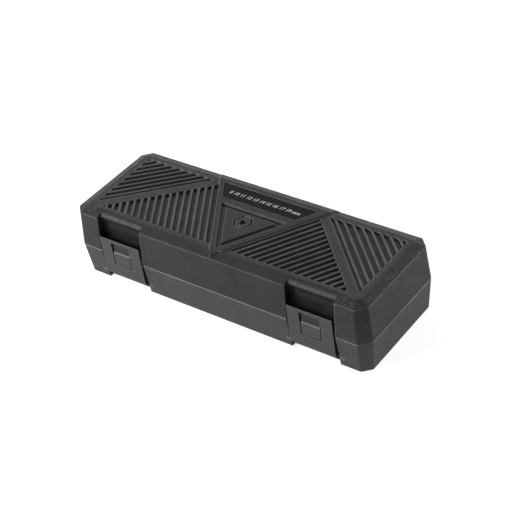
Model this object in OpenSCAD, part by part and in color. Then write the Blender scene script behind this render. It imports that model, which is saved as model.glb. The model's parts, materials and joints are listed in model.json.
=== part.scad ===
// Socket wrench set in a hard case: a latched two-part case, a moulded tray,
// a ratchet with its drive and reversing gear, sockets and extension bars.
// Frame: X along the case, -Y is the latch side, +Z up, origin under the middle of the base.

/* [Case] */
// Length of the closed case
case_l = 280; // [270:1:300]
// Width of the closed case over its rim
case_w = 99; // [99:0.2:106]
// Height of the base up to its rim
base_h = 29; // [27:0.5:34]
// Height of the lid above its rim
lid_h = 33; // [31:0.2:40]
// Gap between the two rims
rim_gap = 0.6; // [0.3:0.1:0.7]
// Corner cut in plan, along each side
corner_cut = 8.6; // [6:0.1:12]
// Rounding of the upright edges
edge_r = 2.2; // [1:0.1:3]
// Wall of the base and lid
wall = 2.5; // [2:0.1:3]
// Floor of the base
floor_t = 2.8; // [2:0.1:4]
// Top plate of the lid
top_t = 3.8; // [3.4:0.1:4.4]
// Inward lean of the base wall from rim to foot
base_draft = 2.8; // [1:0.1:3]
// Inward lean of the lid wall from rim to band
lid_draft = 2.5; // [1:0.1:3]
// Rounding under the base
foot_r = 1; // [1:0.5:4]
// Height of the sloped band round the lid top
band_h = 3.3; // [2:0.1:5]
// Width of the sloped band round the lid top
band_w = 8; // [6:0.1:9]
// Height of the inner lip above the base rim
lip_h = 1.8; // [1:0.1:2.4]
// Thickness of the inner lip
lip_t = 1.2; // [1:0.1:1.6]

/* [Top relief] */
// Plain top between the ribbed field and each end of the case
field_end = 15; // [14:0.5:22]
// Plain top and band between the ribbed field and each long side of the case
field_side = 14.7; // [13.5:0.1:17]
// Depth of the grooves
groove_d = 1.8; // [1:0.1:2]
// Half width of the V panel at the back of the field
v_half = 50.5; // [45:0.5:56]
// Distance of the V panel's tip behind the front of the rim
v_tip_in = 3; // [2:0.1:5]
// Height of the V panel above the top
v_raise = 0.9; // [0.5:0.1:1.2]
// Rim left round the recesses in the V panel, along X
v_rim = 5.2; // [4:0.1:6]
// Distance of the foot of each diagonal bar from the end of the case
diagonal_end = 16.8; // [16:0.2:22]
// Width of each diagonal bar
diagonal_bar = 7.9; // [6:0.1:9]
// Rib of the steep grooves, along X
steep_rib = 2.25; // [1.5:0.05:3]
// Spacing of the steep grooves, along X
steep_pitch = 6.64; // [5:0.02:8]
// Sloped strip on the right of the V panel, along X
right_strip = 4.2; // [3:0.1:5]
// Narrow first groove on the right, along X
right_first = 2.7; // [2:0.1:4]
// Rib of the slanted grooves
slant_rib = 1.85; // [1.4:0.05:2.4]
// Spacing of the slanted grooves
slant_pitch = 5.7; // [4.5:0.05:7]
// First, narrow slanted groove
slant_first = 2.3; // [1.5:0.1:3]
// Depth of the name plate recess
plate_recess = 1.1; // [0.8:0.1:1.4]
// Thickness of the bare name plate
plate_t = 0.6; // [0.4:0.1:0.8]
// Width of the name plate's recess
plate_w = 16.9; // [13:0.1:19]
// Rounding of the name plate's corners
plate_r = 2; // [1:0.1:3]
// Gap round the name plate
plate_gap = 0.15; // [0.1:0.05:0.3]
// Bar between the name plate and the triangle recess
plate_bar = 6.4; // [5:0.1:8]
// Depth of the triangle recess
emblem_d = 1.9; // [1:0.1:2.2]
// Groove round the raised triangle
emblem_groove = 4; // [3:0.1:5]
// Width across flats of the nut outline
nut_af = 15; // [10:0.5:18]

/* [Latches] */
// Distance of each latch's middle from the end of the case
latch_end = 49; // [45:0.5:60]
// Width of a latch
latch_w = 40.8; // [34:0.2:46]
// How much narrower the latch is on each side of its top
latch_narrow = 0.4; // [0:0.1:1]
// Thickness of the latch plate
latch_t = 3; // [2.6:0.1:3.4]
// How far the latch stands in front of the rim
latch_proud = 0.3; // [0:0.1:0.6]
// Height of the latch's top edge above the lid's rim
latch_rise = 14.3; // [12.5:0.1:15.5]
// Width of the flat on the latch's top edge
latch_edge = 0.8; // [0.5:0.1:1.2]
// Fall of the latch's top face to its back
latch_fall = 2.5; // [2:0.1:3]
// Height of the plate's lower edge above the latch pin
latch_foot = 1.8; // [1:0.1:2.4]
// Height of the latch pin
latch_pin_z = 8; // [6.5:0.1:8.5]
// Wall of the base in front of the latch pin
latch_pin_wall = 0.6; // [0.4:0.1:0.8]
// Radius of the latch barrel
latch_barrel_r = 2.5; // [2.2:0.1:2.6]
// Radius of the latch pin
latch_pin_r = 1.1; // [0.9:0.05:1.2]
// Side clearance of the latch in its recess
latch_gap = 1.2; // [0.5:0.1:1.4]
// How far the pin enters each side of the recess
latch_pin_bite = 3; // [2:0.1:3.4]
// Side wall of the recess in the base
recess_side = 4.5; // [4:0.1:6]
// Half width of the window in the latch
window_half = 9.4; // [8:0.1:12]
// Depth of the window's lower edge under the base's rim
window_drop = 9.3; // [8:0.1:13]
// Height of the bar above the window
window_bar = 2.8; // [2:0.1:4]
// Slot round the spring tongue
tongue_gap = 0.9; // [0.5:0.1:1.2]
// Height of the tongue's block above the lid's rim
block_rise = 2.8; // [1:0.1:3.4]
// Sloped upper edge of the tongue's block
block_slope = 1.1; // [0.6:0.1:1.6]
// Depth of the thin part of the tongue behind the face
web_inset = 1.2; // [0.8:0.1:1.5]
// Thickness of the thin part of the tongue
web_t = 1.4; // [1:0.1:1.6]
// Reach of the tongue's barb over the catch
barb_bite = 0.7; // [0.4:0.1:1]
// Height of the barb
barb_h = 2; // [1.5:0.1:3]
// Front of the catch on the lid behind the rim plane
catch_inset = 3.6; // [3.4:0.1:4]
// Height of the catch's top above the lid's rim
catch_rise = 4.6; // [4.2:0.1:5.4]
// Height of the catch
catch_h = 3.4; // [2:0.1:4]
// Running clearance of the catch and the latch
catch_gap = 0.3; // [0.2:0.05:0.5]
// Depth of the recess behind the rim plane, in the lid
scoop_d = 8.6; // [8:0.1:10]
// Clearance between the barrel and the back of the recess in the base
barrel_gap = 0.5; // [0.3:0.1:0.8]
// Height of the curved part of the finger scoop
scoop_h = 8.2; // [6:0.1:11]
// Distance of the scoop's crease behind the rim plane
crease_d = 6.2; // [5:0.1:7]
// Bevel where the side of the recess crosses the band
recess_bevel = 0.7; // [0.4:0.1:1]

/* [Hinges] */
// Distance of each hinge's middle from the end of the case
hinge_end = 52; // [46:1:70]
// Length of a hinge
hinge_l = 36; // [24:1:44]
// Length of the lid knuckle
lid_knuckle_l = 16; // [10:0.5:20]
// Gap between knuckles
knuckle_gap = 0.3; // [0.2:0.05:0.5]
// Radius of a knuckle
knuckle_r = 3.2; // [2.8:0.1:3.6]
// Gap between a knuckle and the wall
hinge_gap = 0.5; // [0.4:0.1:1]
// Radius of a hinge pin
hinge_pin_r = 1.5; // [1.2:0.05:1.8]
// Height of each hinge web on the wall
hinge_web_h = 11; // [8:0.5:13]

/* [Fits] */
// Radial clearance of a pin held fast
fast_fit = 0.02; // [0.01:0.01:0.04]
// Radial clearance of a turning pin
free_fit = 0.06; // [0.04:0.01:0.1]
// Clearance between loose neighbours
loose = 0.3; // [0.2:0.05:0.4]

/* [Tray] */
// Depth of the tray's top below the base's rim
tray_drop = 3; // [2.5:0.5:4]
// Gap between the tray and the lip round it
tray_gap = 0.4; // [0.3:0.1:1]
// Room at each end of a pocket
pocket_end = 1.5; // [1:0.1:2]
// Distance of the finger well's middle from the end of the grip
well_at = 36.5; // [30:0.5:45]
// Length of the finger well
well_l = 22; // [18:1:26]
// Depth of the finger well
well_d = 15; // [12:0.5:17]
// Thickness of the lid's foam
foam_t = 6; // [4:0.5:8]
// Inset of the lid's foam from the outside of the case
foam_inset = 11.5; // [9:0.5:13]

/* [Sockets] */
// Distance of the socket row's middle from the front of the rim
socket_row = 26.8; // [26:0.1:28]
// Length of a socket
socket_l = 28; // [25:0.5:30]
// Outside of the drive end of a socket
socket_drive_od = 17; // [16:0.5:18]
// Outside of the hexagon end as a share of its size
socket_od_ratio = 1.37; // [1.3:0.01:1.42]
// Space between sockets
socket_space = 4.5; // [3.8:0.1:5]
// Width of the drive square
drive_af = 9.5; // [9.4:0.05:9.6]
// Clearance of a square hole on its square
square_fit = 0.1; // [0.05:0.05:0.2]
// Depth of a square hole
square_d = 11; // [10:0.5:12]
// Depth of the hexagon
hex_d = 13; // [10:0.5:14]
// Clearance of a hexagon on its nut
hex_fit = 0.2; // [0.1:0.05:0.3]
// Radius of the hole through a socket
through_r = 3.75; // [3.6:0.05:4]
// Length of the spark plug socket
plug_l = 64; // [60:1:66]
// Outside of the spark plug socket
plug_od = 22; // [21:0.5:23]
// Hexagon of the spark plug socket
plug_af = 16; // [14:1:16]
// Distance of the spark plug socket from the end of the case
plug_end = 10; // [9:0.5:12]
// Length of the spark plug grip ring
plug_ring_l = 12; // [8:1:16]

/* [Bars] */
// Distance of the bar row's middle from the back of the rim
bar_row = 15.3; // [15:0.1:16]
// Length of the long bar
bar_long = 150; // [140:1:155]
// Length of the short bar
bar_short = 75; // [70:1:80]
// Space between the two bars
bar_space = 9; // [7:0.5:12]
// Radius of a bar
bar_r = 4.8; // [4:0.1:5.5]
// Length of the socket end of a bar
bar_end_l = 16; // [14:0.5:20]

/* [Ratchet] */
// Distance of the ratchet's head from the end of the case
head_end = 16.5; // [13:0.5:20]
// Space between the spark plug socket and the ratchet
tool_space = 9.5; // [7:0.5:14]
// Radius of the ratchet head
head_r = 15.5; // [15:0.1:16]
// Height of the ratchet head above the tray's top
head_rise = 6.5; // [6:0.1:7]
// Thickness of the ratchet head
head_t = 14; // [13:0.1:15]
// Length of the tapered neck from the middle of the head
neck_l = 36; // [32:1:40]
// Radius of the shank
shank_r = 5.5; // [5:0.1:6]
// Bare shank between the neck and the grip
shank_l = 26.5; // [20:0.5:36]
// Radius of the grip
grip_r = 12; // [11:0.1:12.2]
// Length of the grip's swollen end
grip_swell = 14; // [10:0.5:20]
// Depth of the grip's waist
grip_waist = 1.6; // [1:0.1:2]
// Wall behind the end of the shank in the grip
grip_end_t = 3; // [2:0.5:5]
// Radius over the teeth of the drive gear
gear_r = 9.6; // [9:0.1:10]
// Number of teeth, a multiple of four
gear_teeth = 24; // [20:4:28]
// Depth of the teeth
tooth_d = 1.3; // [1:0.1:1.5]
// Height of the toothed part
gear_h = 6; // [5:0.5:7]
// Radius of the drive's lower journal
journal_r = 8; // [7.5:0.1:8.2]
// Thickness of the cover plate
cover_t = 2.2; // [2:0.1:2.6]
// Radius of the cover plate
cover_r = 13.4; // [13:0.1:13.6]
// Radius of the drive's upper journal in the cover
boss_r = 5; // [4.6:0.1:5.4]
// Radius of the release button
button_r = 3.5; // [3:0.1:3.6]
// Radius of the rod under the release button
button_rod_r = 2.2; // [2:0.1:2.3]
// How far the release button stands up
button_up = 2.6; // [2.4:0.1:3]
// Travel of the release button
button_travel = 2.2; // [2:0.1:2.2]
// Radius of the drive's spring ball
ball_r = 1.5; // [1.2:0.1:1.6]
// How far the spring ball stands out
ball_out = 0.7; // [0.5:0.1:0.8]
// Distance from the head's middle to the lever's axis
lever_d = 19; // [18.5:0.1:20]
// Radius of the lever's shaft
lever_r = 2.2; // [2:0.1:2.4]
// Length of the lever's thumb piece
lever_l = 13; // [11:0.5:14]
// Thickness of the lever
lever_t = 2.4; // [2:0.1:3]
// Turn of the lever, one side to the other
lever_swing = 50; // [40:1:60]
// Rocking angle of the pawl, one side to the other
pawl_swing = 8; // [7:0.5:9]
// Radius of the cover screws' heads
screw_r = 1.4; // [1.2:0.1:1.5]
// Thickness of the cover screws' heads
screw_head_t = 0.7; // [0.6:0.1:1]
// Radius of the cover screws' shanks
screw_shank_r = 0.9; // [0.7:0.1:1]
// Length of the cover screws below the cover
screw_l = 3.5; // [3:0.1:4]

/* [Hidden] */
$fn = 48;

socket_sizes = [8, 10, 11, 12, 13, 14, 15, 16, 17, 19];

half_l = case_l / 2;
half_w = case_w / 2;
lid_z0 = base_h + rim_gap;
top_z = lid_z0 + lid_h;
band_z = top_z - band_h;
inner_top = top_z - top_t;
corner_steps = 3;
// How far some edges go past another piece's, so that none lies on a face
past = 0.05;

field_l = half_l - field_end;
field_w = half_w - field_side;
v_tip = half_w - v_tip_in;
diagonal_foot = half_l - diagonal_end;
plate_back = field_w + 0.4;
plate_y = plate_back - plate_w;
emblem_y = plate_y - plate_bar;

latch_x = half_l - latch_end;
latch_top = lid_z0 + latch_rise;
block_top = lid_z0 + block_rise;
catch_top = lid_z0 + catch_rise;
window_bottom = base_h - window_drop;
scoop_z = band_z - scoop_h;
latch_front = -(half_w + latch_proud);
latch_back = latch_front + latch_t;
pin_lean = base_draft * (base_h - latch_pin_z) / (base_h - foot_r);
latch_pin_y = pin_lean - half_w + latch_pin_wall + latch_pin_r;
recess_half = latch_w / 2 + latch_gap;
base_recess_y = latch_pin_y + latch_barrel_r + barrel_gap;
scoop_y = -half_w + scoop_d;
window_top = latch_top - window_bar;
catch_front = -half_w + catch_inset;
barb_tip = catch_front + barb_bite;

hinge_x = half_l - hinge_end;
hinge_y = half_w + hinge_gap + knuckle_r;
hinge_z = base_h + rim_gap / 2;

lip_inset = wall + loose + 0.25;
tray_inset = lip_inset + lip_t + tray_gap;
tray_front = base_recess_y + wall + loose;
tray_floor = floor_t + loose;
tray_top = base_h - tray_drop;

socket_y = socket_row - half_w;
bar_y = half_w - bar_row;
bar_x = -(bar_long + bar_space + bar_short) / 2;
short_bar_x = bar_x + bar_long + bar_space;
plug_x = plug_end - half_l;

head_x = half_l - head_end - head_r;
ratchet_end = plug_x + plug_l + tool_space;
ratchet_l = head_x + head_r - ratchet_end;
grip_l = ratchet_l - head_r - neck_l - shank_l;
ratchet_y = (socket_y + socket_l / 2 + pocket_end + bar_y - socket_drive_od / 2 - loose) / 2;
head_top = tray_top + head_rise;
head_z = head_top - head_t;
ratchet_z = head_z + head_t / 2;
cover_z = head_top - cover_t;
gear_z = head_z + 3;
drive_tip = head_z - square_d;
ball_z = drive_tip + square_d / 2;
pawl_hub_r = 4.2;
pawl_room = 7.9;
lever_x = head_x - lever_d;
screw_at = (gear_r + cover_r) / 2 + 0.1;

// Points of an eight-sided outline with rounded corners, offset inwards by an inset
function corner_arc(v, heading, r) =
    let (t = r * tan(22.5),
         p = v - t * [cos(heading), sin(heading)],
         c = p + r * [-sin(heading), cos(heading)])
    [for (k = [0:corner_steps])
        let (a = heading - 90 + 45 * k / corner_steps) c + r * [cos(a), sin(a)]];
function outline(inset, r = edge_r) =
    let (a = half_l - inset,
         b = half_w - inset,
         c = corner_cut - inset * (2 - sqrt(2)),
         v = [[a - c, -b], [a, -b + c], [a, b - c], [a - c, b],
              [-a + c, b], [-a, b - c], [-a, -b + c], [-a + c, -b]])
    [for (i = [0:7]) for (p = corner_arc(v[i], 45 * i, r)) p];

// Closed solid through rings of [height, inset], bottom to top
module loft(rings) {
    n = len(outline(0));
    points = [for (r = rings) for (p = outline(r[1])) [p[0], p[1], r[0]]];
    bottom = [for (i = [0:n - 1]) i];
    top = [for (i = [n - 1:-1:0]) (len(rings) - 1) * n + i];
    sides = [for (k = [0:len(rings) - 2]) for (i = [0:n - 1])
        [k * n + i, (k + 1) * n + i, (k + 1) * n + (i + 1) % n, k * n + (i + 1) % n]];
    polyhedron(points = points, faces = concat([bottom], sides, [top]));
}

module both_sides() {
    children();
    mirror([1, 0, 0]) children();
}

// A bar with a Y-Z outline, centred on X
module bar_x_section(points, length) {
    rotate([90, 0, 90]) linear_extrude(length, center = true) polygon(points);
}

module rod_x(r, length) {
    rotate([0, 90, 0]) cylinder(h = length, r = r, center = true);
}

// ---------------------------------------------------------------- case

module base_outside() {
    loft([[0, base_draft + foot_r], [foot_r * (1 - cos(30)), base_draft + foot_r * (1 - sin(30))],
        [foot_r * (1 - cos(60)), base_draft + foot_r * (1 - sin(60))], [foot_r, base_draft],
        [base_h, 0]]);
}

module base_inside() {
    loft([[floor_t, base_draft + wall + foot_r / 2], [floor_t + foot_r, base_draft + wall],
        [base_h + 1, wall]]);
}

module base_lip() {
    inner_r = max(edge_r - wall, 0.4);
    ledge_h = 1.8;
    difference() {
        union() {
            translate([0, 0, base_h - ledge_h]) linear_extrude(ledge_h + lip_h)
                difference() {
                    polygon(outline(lip_inset, inner_r));
                    polygon(outline(lip_inset + lip_t, inner_r));
                }
            translate([0, 0, base_h - ledge_h]) linear_extrude(ledge_h)
                difference() {
                    polygon(outline(wall / 2, inner_r));
                    polygon(outline(lip_inset + lip_t, inner_r));
                }
        }
        both_sides() translate([latch_x, -half_w, base_h])
            cube([2 * (recess_half + recess_side + 1), 4 * wall + 2 * scoop_d, 4 * lip_h], center = true);
    }
}

module hinge_knuckle(length, up) {
    rod_x(knuckle_r, length);
    bar_x_section([[-(hinge_y - half_w) - wall * 0.8, up * hinge_web_h],
        [-(hinge_y - half_w) - wall * 0.8, up * (rim_gap / 2 + 0.3)], [0, up * 0.3],
        [knuckle_r * cos(40), up * knuckle_r * sin(40)]], length);
}

module base_shell() color([0.11, 0.11, 0.115]) {
    side_knuckle = (hinge_l - lid_knuckle_l) / 2 - knuckle_gap;
    difference() {
        union() {
            difference() {
                base_outside();
                base_inside();
            }
            base_lip();
            both_sides() intersection() {
                base_outside();
                translate([latch_x, (-half_w - 5 + base_recess_y + wall) / 2, base_h / 2])
                    cube([2 * (recess_half + recess_side), half_w + 5 + base_recess_y + wall, base_h],
                        center = true);
            }
            both_sides() translate([hinge_x, hinge_y, hinge_z]) {
                for (s = [-1, 1])
                    translate([s * (hinge_l - side_knuckle) / 2, 0, 0]) hinge_knuckle(side_knuckle, -1);
            }
        }
        both_sides() {
            translate([latch_x, (-half_w - 5 + base_recess_y) / 2, base_h / 2])
                cube([2 * recess_half, half_w + 5 + base_recess_y, base_h + 2], center = true);
            translate([latch_x, latch_pin_y, latch_pin_z])
                rod_x(latch_pin_r + fast_fit, 2 * (recess_half + recess_side) + 1);
            translate([hinge_x, hinge_y, hinge_z]) rod_x(hinge_pin_r + fast_fit, hinge_l + 1);
        }
    }
}

// Outline of the lid's latch recess in Y and Z: chamfer, crease, hollow curve, upright wall
scoop_back = scoop_y - 0.5;
function scoop_outline() =
    let (crease = [crease_d - half_w, band_z],
         rise = band_z - scoop_z,
         run = scoop_y - crease[0],
         r = (run * run + rise * rise) / (2 * run),
         sweep = asin(rise / r),
         back = [scoop_back, band_z + (scoop_back + half_w - lid_draft) * band_h / band_w],
         over = crease + (back - crease) * (top_z + 4 - crease[1]) / (back[1] - crease[1]))
    concat([[-half_w - 8, lid_z0 - 2], [-half_w - 8, top_z + 4], over],
        [for (k = [0:6]) let (a = sweep * (1 - k / 6)) [scoop_y - r + r * cos(a), scoop_z + r * sin(a)]],
        [[scoop_y, lid_z0 - 2]]);

function v_edge(y) = v_half * (y + v_tip) / (field_w + v_tip);
function diagonal_y(x) = -field_w + (diagonal_foot - x) * 2 * field_w / (diagonal_foot - v_half);

// Lean of the V panel's edges and of the diagonal bars
diagonal_a = atan2(2 * field_w, diagonal_foot - v_half);
bar_rise = diagonal_bar / 2 / cos(diagonal_a);

module v_panel(back, inset = 0) {
    y0 = inset * (field_w + v_tip) / v_half - v_tip;
    polygon([[0, y0], [v_edge(back) - inset, back], [inset - v_edge(back), back]]);
}

// One groove between two lines that run along the V panel's edge
module steep_groove(near, far) {
    y0 = -field_w;
    y1 = field_w;
    polygon([[v_edge(y0) + near, y0], [v_edge(y0) + far, y0],
        [v_edge(y1) + far, y1], [v_edge(y1) + near, y1]]);
}

module steep_field(start) {
    count = floor((field_l - v_edge(-field_w)) / steep_pitch);
    intersection() {
        // The area in front of the diagonal bar
        x_low = diagonal_foot - (bar_rise) * (diagonal_foot - v_half) / (2 * field_w);
        polygon([[0, -field_w], [x_low, -field_w], [0, diagonal_y(0) - bar_rise]]);
        union() {
            if (start > 0) steep_groove(right_strip, right_strip + right_first);
            for (k = [0:count])
                steep_groove(start + k * steep_pitch, start + (k + 1) * steep_pitch - steep_rib);
        }
    }
}

module slant_field() {
    count = ceil(2 * field_w / slant_pitch);
    intersection() {
        // The area behind the diagonal bar
        x_low = diagonal_foot - (2 * field_w - bar_rise) * (diagonal_foot - v_half) / (2 * field_w);
        polygon([[field_l, diagonal_y(field_l) + bar_rise], [field_l, field_w], [x_low, field_w]]);
        translate([diagonal_foot, -field_w]) rotate(180 - diagonal_a) mirror([0, 1]) {
            translate([-field_l, diagonal_bar / 2]) square([3 * field_l, slant_first]);
            for (k = [0:count])
                translate([-field_l, diagonal_bar / 2 + slant_first + slant_rib + k * slant_pitch])
                    square([3 * field_l, slant_pitch - slant_rib]);
        }
    }
}

module grooves() {
    translate([0, 0, top_z - groove_d]) linear_extrude(groove_d + 2) {
        mirror([1, 0]) steep_field(-past);
        steep_field(right_strip + right_first + steep_rib);
        slant_field();
        mirror([1, 0]) slant_field();
    }
}

module v_raised() {
    intersection() {
        translate([0, 0, v_raise]) lid_outside();
        translate([0, 0, band_z + v_raise * 0.3]) linear_extrude(band_h + 2)
            v_panel(half_w - lid_draft - 0.8);
    }
}

// Slope from the V panel's right edge down to the first groove. It starts and ends a little
// past the edges that it joins, so that no edge lies on another face
module v_slope() {
    y1 = half_w - lid_draft - band_w - 0.4;
    sink = 1;
    crest = v_raise - past;
    fall = crest / right_strip;
    section = [[-sink, crest], [past, crest], [right_strip + 2 * past + sink, -fall * sink],
        [-sink, -fall * sink]];
    points = [for (y = [-y1, y1]) for (p = section) [v_edge(y) + p[0], y, top_z + p[1]]];
    sides = [for (i = [0:3]) [i, i + 4, (i + 1) % 4 + 4, (i + 1) % 4]];
    polyhedron(points = points, faces = concat([[0, 1, 2, 3], [7, 6, 5, 4]], sides));
}

// Arc that rounds the corner b of the path a, b, c
function unit(v) = v / norm(v);
function round_corner(a, b, c, r) =
    let (u = unit(a - b),
         w = unit(c - b),
         half = acos(u * w) / 2,
         centre = b + unit(u + w) * r / sin(half),
         from = b + u * r / tan(half) - centre,
         turn = (u[0] * w[1] - u[1] * w[0] > 0 ? -1 : 1) * (180 - 2 * half),
         start = atan2(from[1], from[0]))
    [for (k = [0:5]) centre + r * [cos(start + turn * k / 5), sin(start + turn * k / 5)]];

// Four-sided area of the name plate, between the V panel's rims
module plate_area(inset) {
    front = plate_y + inset;
    back = plate_back - inset;
    x0 = v_edge(front) - v_rim - inset;
    x1 = v_edge(back) - v_rim - inset;
    v = [[-x0, front], [x0, front], [x1, back], [-x1, back]];
    polygon([for (i = [0:3]) for (p = round_corner(v[(i + 3) % 4], v[i], v[(i + 1) % 4], plate_r)) p]);
}

// Raised triangle with a nut outline cut in it
module emblem_area() {
    intersection() {
        v_panel(half_w, v_rim);
        translate([-half_l, -half_w]) square([case_l, half_w + emblem_y]);
    }
}

module emblem_island() {
    nut_y = emblem_y - emblem_groove - nut_af / 2 - 2.6;
    difference() {
        intersection() {
            v_panel(half_w, v_rim + emblem_groove * 1.15);
            translate([-half_l, -half_w]) square([case_l, half_w + emblem_y - emblem_groove]);
        }
        translate([0, nut_y]) {
            difference() {
                circle(d = nut_af / cos(30), $fn = 6);
                circle(d = (nut_af - 3) / cos(30), $fn = 6);
            }
            circle(d = nut_af * 0.4);
        }
    }
}

module lid_outside() {
    loft([[lid_z0, 0], [band_z, lid_draft], [top_z, lid_draft + band_w]]);
}

module lid_inside() {
    loft([[lid_z0 - 1, wall], [band_z - 2, lid_draft + wall], [inner_top, lid_draft + wall + 2]]);
}

// Bevels where the sides of a recess cross the band, running out at its back
module recess_bevels() {
    length = (scoop_back + half_w - lid_draft) * sqrt(1 + pow(band_h / band_w, 2));
    lean = atan2(band_h, band_w) + atan2(recess_bevel, length);
    for (s = [-1, 1])
        translate([s * recess_half, lid_draft - half_w, band_z]) rotate([lean, 0, 0])
            translate([0, length / 2, 0]) rotate([0, 45, 0])
                cube([recess_bevel * sqrt(2), length + 2, recess_bevel * sqrt(2)], center = true);
}

module lid_catch() {
    rest = 1.6;
    translate([0, (catch_front + scoop_y + rest) / 2, catch_top - catch_h / 2])
        cube([2 * (window_half - tongue_gap - 1.5), scoop_y + rest - catch_front, catch_h], center = true);
}

module lid_shell() color([0.105, 0.105, 0.11]) {
    difference() {
        union() {
            difference() {
                lid_outside();
                lid_inside();
            }
            v_raised();
            v_slope();
            both_sides() intersection() {
                lid_outside();
                translate([latch_x, (-half_w - 5 + scoop_y + wall) / 2, lid_z0 + lid_h / 2])
                    cube([2 * (recess_half + wall), half_w + 5 + scoop_y + wall, lid_h], center = true);
            }
            both_sides() translate([hinge_x, hinge_y, hinge_z]) hinge_knuckle(lid_knuckle_l, 1);
        }
        both_sides() {
            translate([latch_x, 0, 0]) bar_x_section(scoop_outline(), 2 * recess_half);
            translate([latch_x, 0, 0]) recess_bevels();
            translate([hinge_x, hinge_y, hinge_z]) rod_x(hinge_pin_r + free_fit, hinge_l + 1);
        }
        grooves();
        translate([0, 0, top_z + v_raise - plate_recess]) linear_extrude(5) plate_area(0);
        translate([0, 0, top_z + v_raise - emblem_d]) linear_extrude(5)
            difference() {
                emblem_area();
                emblem_island();
            }
    }
    both_sides() translate([latch_x, 0, 0]) lid_catch();
}

module name_plate() color([0.03, 0.03, 0.032])
    translate([0, 0, top_z + v_raise - plate_recess]) linear_extrude(plate_t) plate_area(plate_gap);

module lid_foam() color([0.06, 0.06, 0.065])
    translate([0, 0, inner_top - foam_t]) linear_extrude(foam_t)
        difference() {
            polygon(outline(foam_inset));
            both_sides() translate([latch_x, -half_w])
                square([2 * (recess_half + wall + 1), 2 * (scoop_d + wall + 1)], center = true);
        }

// ---------------------------------------------------------------- hinges and latches

module hinge_pin(side) color([0.62, 0.62, 0.64])
    translate([side * hinge_x, hinge_y, hinge_z]) rod_x(hinge_pin_r, hinge_l);

module latch_pin(side) color([0.62, 0.62, 0.64])
    translate([side * latch_x, latch_pin_y, latch_pin_z])
        rod_x(latch_pin_r, latch_w + 2 * latch_gap + 2 * latch_pin_bite);

// Plate that narrows upwards, with a thin top edge and a foot that turns back to the barrel
module latch_plate() {
    wide = latch_w / 2;
    slim = wide - latch_narrow;
    turn = (latch_barrel_r - past) * cos(45);
    intersection() {
        bar_x_section([[latch_front, latch_pin_z + latch_foot],
            [latch_pin_y - turn, latch_pin_z - turn],
            [latch_back, latch_pin_z], [latch_back, latch_top - latch_fall],
            [latch_front + latch_edge, latch_top], [latch_front, latch_top]], latch_w + 1);
        translate([0, latch_back + 1, 0]) rotate([90, 0, 0]) linear_extrude(latch_t + 2)
            polygon([[-wide, 0], [wide, 0], [slim, latch_top + 1], [-slim, latch_top + 1]]);
    }
}

module latch(side) color([0.12, 0.12, 0.125])
    translate([side * latch_x, 0, 0]) {
        tongue_half = window_half - tongue_gap;
        block_front = latch_front + 0.1;
        web_front = latch_front + web_inset;
        web_back = web_front + web_t;
        barb_z = catch_top + catch_gap;
        rib_w = 1.4;
        difference() {
            union() {
                latch_plate();
                translate([0, latch_pin_y, latch_pin_z]) rod_x(latch_barrel_r, latch_w);
                // Stiffening ribs behind the plate
                for (s = [-1, 1])
                    translate([s * (latch_w / 2 - 2) - rib_w / 2, latch_back - 0.1, latch_pin_z + 4])
                        cube([rib_w, 1.6, latch_top - latch_pin_z - 8]);
            }
            translate([-window_half, latch_front - 1, window_bottom])
                cube([2 * window_half, latch_t + 4, window_top - window_bottom]);
            translate([0, latch_pin_y, latch_pin_z]) rod_x(latch_pin_r + free_fit, latch_w + 2);
        }
        // Spring tongue: thin web, thick block with a sloped upper edge, barb behind the web
        bar_x_section([[web_front, window_top + 0.1], [web_front, block_top],
            [block_front, block_top - block_slope], [block_front, window_bottom + tongue_gap],
            [latch_back, window_bottom + tongue_gap], [latch_back, block_top], [web_back, block_top],
            [web_back, barb_z], [barb_tip, barb_z], [barb_tip - 0.6, barb_z + barb_h],
            [web_back, barb_z + barb_h], [web_back, window_top + 0.1]], 2 * tongue_half);
    }

// ---------------------------------------------------------------- tray

// Straight-walled pocket from a floor height up through the tray's top
module pocket(x, y, floor_z, size_x, size_y) {
    translate([x - size_x / 2, y - size_y / 2, floor_z]) cube([size_x, size_y, base_h]);
}

// Pocket for a round tool that lies along X with its middle at a height z
module rod_pocket(x, length, y, z, r) {
    pocket(x + length / 2, y, z - r - loose, length + 2 * pocket_end, 2 * (r + loose));
}

module socket_pockets() {
    for (i = [0:len(socket_sizes) - 1])
        pocket(socket_x(i), socket_y, tray_top - socket_r(i) - loose,
            2 * (socket_r(i) + loose), socket_l + 2 * pocket_end);
}

module bar_pocket(x, length) {
    rod_pocket(x, bar_end_l + 3, bar_y, tray_top, socket_drive_od / 2);
    rod_pocket(x, length, bar_y, tray_top, drive_af / sqrt(2));
}

module ratchet_pocket() {
    translate([head_x, ratchet_y, head_z - loose]) cylinder(h = base_h, r = head_r + loose);
    translate([head_x, ratchet_y, drive_tip - 2 * loose]) cylinder(h = base_h, r = journal_r + loose);
    translate([0, 0, head_z - loose]) linear_extrude(base_h) neck_outline(loose);
    translate([head_x - neck_l, ratchet_y, head_z - loose]) cylinder(h = base_h, r = shank_r + loose);
    rod_pocket(ratchet_end, ratchet_l - head_r, ratchet_y, ratchet_z, shank_r);
    rod_pocket(ratchet_end, grip_l, ratchet_y, ratchet_z, grip_r);
}

// Room for the fingers across the grip and the long bar
module finger_well() {
    y0 = ratchet_y - grip_r - 2.5;
    y1 = bar_y + socket_drive_od / 2;
    pocket(ratchet_end + well_at, (y0 + y1) / 2, tray_top - well_d, well_l, y1 - y0);
}

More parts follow.
